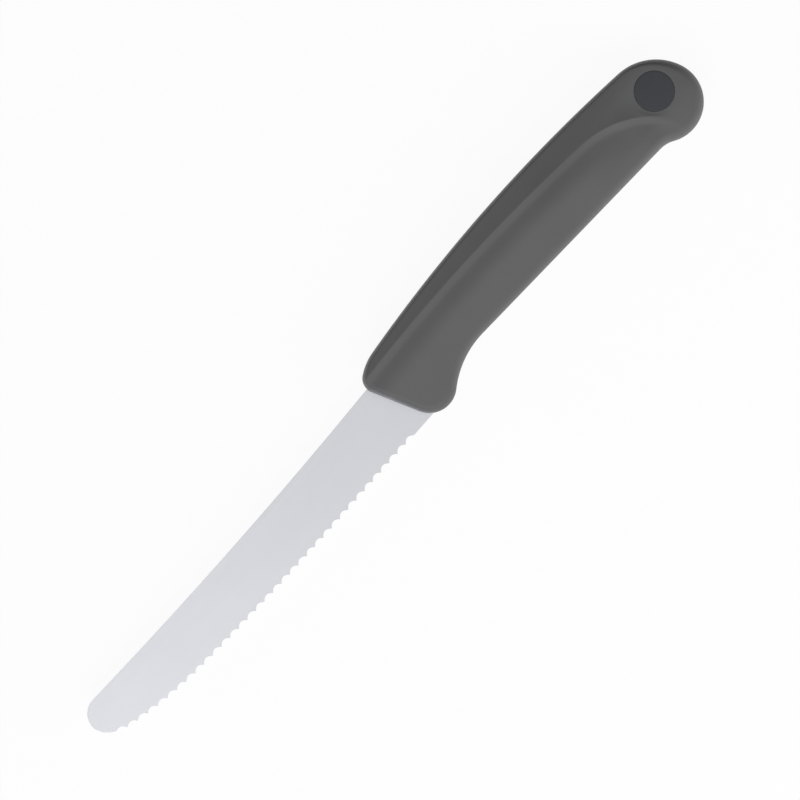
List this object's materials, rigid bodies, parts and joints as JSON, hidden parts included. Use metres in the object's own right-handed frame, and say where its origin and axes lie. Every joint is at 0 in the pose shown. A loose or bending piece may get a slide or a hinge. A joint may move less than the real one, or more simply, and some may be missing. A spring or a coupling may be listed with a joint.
{
  "type": "breakfast knife",
  "caption": "Round-tipped table knife with a scalloped blade and a moulded grey handle that has a finger guard, a creased side and a rounded butt with a flush inlay.",
  "frame": {"origin": "bottom centre of the knife's box as it lies on its side", "axes": "+X along the knife from tip to butt, +Y from the edge to the spine, +Z out of the side with the inlay"},
  "size_m": [0.2202, 0.0256, 0.0142],
  "materials": {
    "blade_steel": "satin stainless steel",
    "core_plastic": "plain moulded",
    "grip_plastic": "fine matte moulded",
    "disc_plastic": "smooth satin"
  },
  "bodies": {
    "root": {"blade": "blade_steel", "handle_core": "core_plastic", "handle_grip": "grip_plastic", "end_disc": "disc_plastic"}
  },
  "joints": []
}
